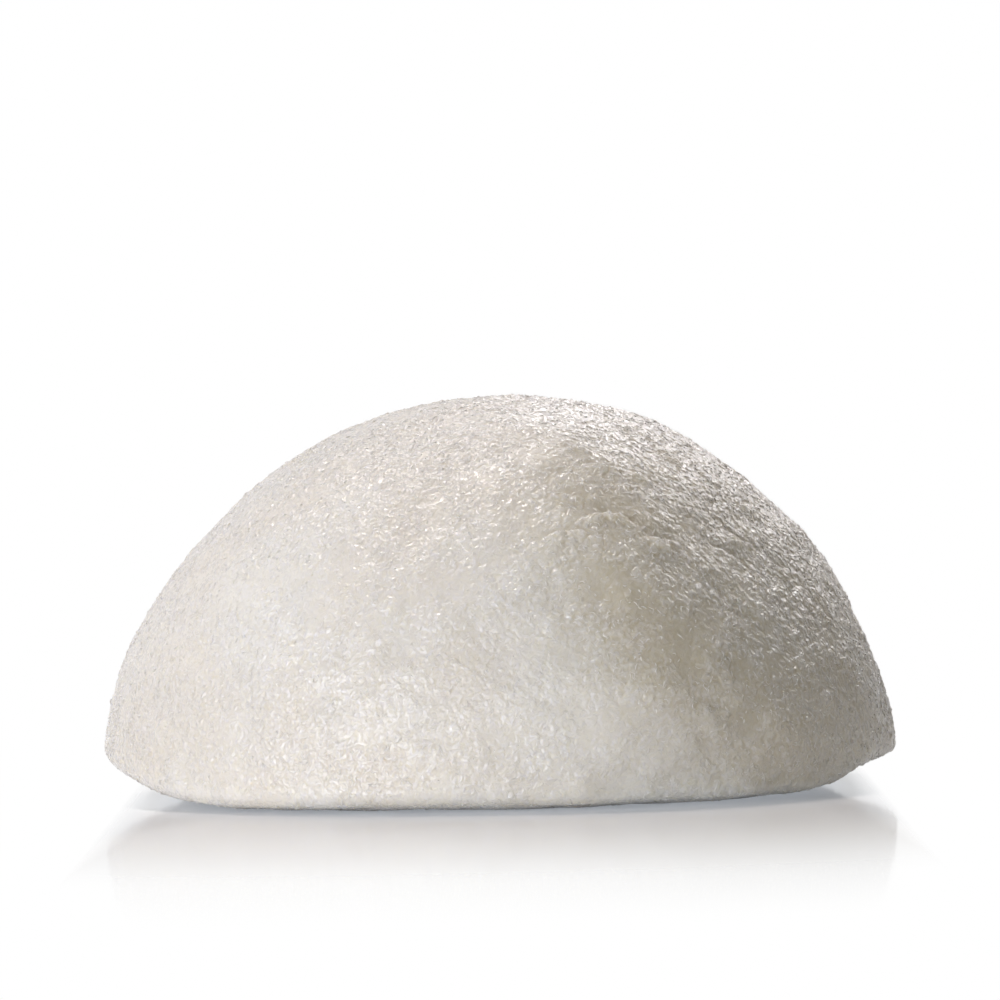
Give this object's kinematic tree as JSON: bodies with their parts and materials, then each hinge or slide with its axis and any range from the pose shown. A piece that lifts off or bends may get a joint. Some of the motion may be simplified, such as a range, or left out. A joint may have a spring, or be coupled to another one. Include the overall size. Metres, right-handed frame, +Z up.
{
  "type": "konjac sponge",
  "caption": "Half-ball konjac sponge for washing the face: one block of springy plant-fibre foam, domed on top, with a curled lip and a flat to rest on.",
  "frame": {"origin": "middle of the flat on the underside that the sponge rests on, at the centre of its plan", "axes": "+Z up through the crown of the dome, +X to the right and +Y to the back as the picture looks at it; the lip curls up at the -X and +X ends"},
  "size_m": [0.08, 0.0798, 0.04],
  "materials": {
    "konjac_foam": "fine felted open-pored foam, warm off-white, slightly translucent, with a faint glint"
  },
  "bodies": {
    "root": {"sponge_body": "konjac_foam"}
  },
  "joints": []
}
